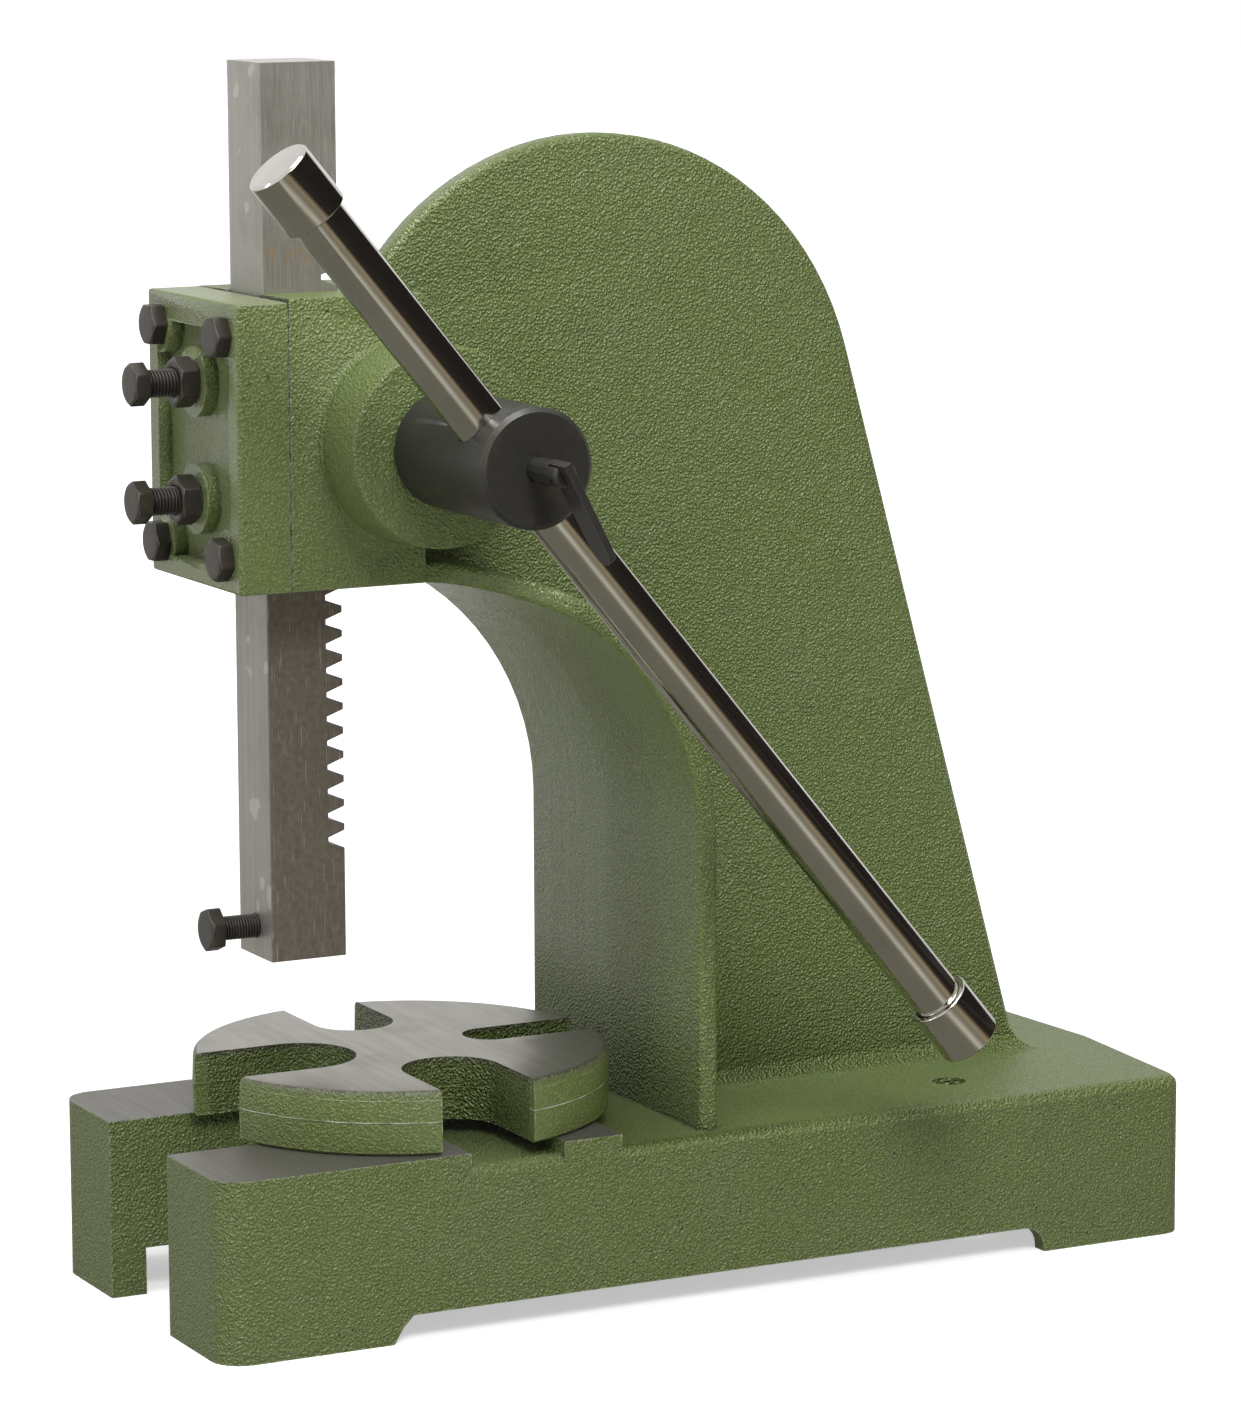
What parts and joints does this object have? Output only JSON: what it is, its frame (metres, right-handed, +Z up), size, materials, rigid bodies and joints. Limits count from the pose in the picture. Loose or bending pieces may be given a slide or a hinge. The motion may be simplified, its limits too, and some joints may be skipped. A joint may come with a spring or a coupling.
{
  "type": "bench arbor press",
  "caption": "Bench arbor press: a cast C-shaped frame whose chromed lever turns a pinion and drives a square toothed ram down to a slotted, turning anvil plate.",
  "frame": {"origin": "middle of the underside of the frame's rear foot, on the bench surface", "axes": "+Z up; -Y towards the operator, where the cover and the slot's mouth are; +X to the operator's right, the side of the hub and lever"},
  "size_m": [0.3358, 0.5553, 0.6202],
  "materials": {
    "green_enamel": "hammered green enamel on cast iron, semi-gloss; pads on the base machined bare",
    "anvil_finish": "machined grey top face, green hammered enamel on rim and slot walls",
    "machined_steel": "ground and milled, fine grain",
    "black_hub": "black oxide, satin",
    "black_screws": "black oxide, worn at the edges",
    "chromed_steel": "polished chrome plate"
  },
  "bodies": {
    "frame": {"frame_casting": "green_enamel", "ram_cover": "green_enamel", "cover_bolt_1": "black_screws", "cover_bolt_2": "black_screws", "cover_bolt_3": "black_screws", "cover_bolt_4": "black_screws", "gib_screw_upper": "black_screws", "gib_screw_lower": "black_screws", "gib_nut_upper": "black_screws", "gib_nut_lower": "black_screws", "gib_plate": "machined_steel", "anvil_pivot_pin": "black_screws"},
    "ram_set": {"ram": "machined_steel", "tool_set_screw": "black_screws"},
    "pinion": {"pinion_gear": "machined_steel", "pinion_key": "machined_steel", "pinion_shaft": "black_hub", "retaining_washer": "black_screws", "retaining_screw": "black_screws"},
    "lever": {"lever_bar": "chromed_steel", "lever_cap_upper": "chromed_steel", "lever_cap_lower": "chromed_steel"},
    "clamp": {"clamp_screw": "black_screws", "clamp_blade": "black_screws", "clamp_blade_pin": "black_screws"},
    "anvil": {"anvil_plate": "anvil_finish"}
  },
  "joints": [
    {"name": "pinion_turn", "type": "hinge", "parent": "frame", "child": "pinion", "pos_m": [0, -0.41641, 0.4375], "axis": [1, 0, 0], "range_deg": [-338.9, 110.1]},
    {"name": "ram_slide", "type": "slide", "parent": "frame", "child": "ram_set", "axis": [0, 0, 1], "range_m": [-0.052, 0.16]},
    {"name": "lever_slide", "type": "slide", "parent": "pinion", "child": "lever", "axis": [0, 0.6374, -0.7705], "range_m": [-0.334, 0.125]},
    {"name": "clamp_turn", "type": "hinge", "parent": "pinion", "child": "clamp", "pos_m": [0.212, -0.41641, 0.4375], "axis": [1, 0, 0], "range_deg": [-180, 180]},
    {"name": "anvil_turn", "type": "hinge", "parent": "frame", "child": "anvil", "pos_m": [0, -0.401, 0.0915], "axis": [0, 0, 1], "continuous": true}
  ],
  "couplings": [
    {"joint": "ram_slide", "follows": "pinion_turn", "m_per_rad": -0.02705}
  ]
}
